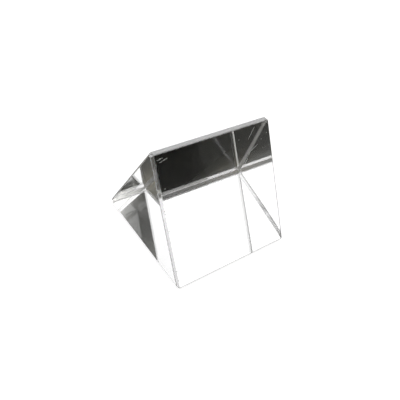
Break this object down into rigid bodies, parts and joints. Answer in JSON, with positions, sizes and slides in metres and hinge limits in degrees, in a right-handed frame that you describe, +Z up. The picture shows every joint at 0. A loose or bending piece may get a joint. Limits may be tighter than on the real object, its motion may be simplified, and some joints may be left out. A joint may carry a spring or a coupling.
{
  "type": "equilateral triangular prism",
  "caption": "Clear optical glass prism with a sixty degree triangular section, polished faces and ground bevels on every edge.",
  "frame": {"origin": "centre of the base's bounding box, on the plane of the face that the prism lies on", "axes": "+X along the prism, between its two triangular ends; +Y from the front long face towards the rear edge; +Z up from the base to the top ridge"},
  "size_m": [0.025, 0.0244, 0.0208],
  "materials": {
    "optical_glass": "polished faces, fine ground bevels"
  },
  "bodies": {
    "root": {"prism": "optical_glass"}
  },
  "joints": []
}
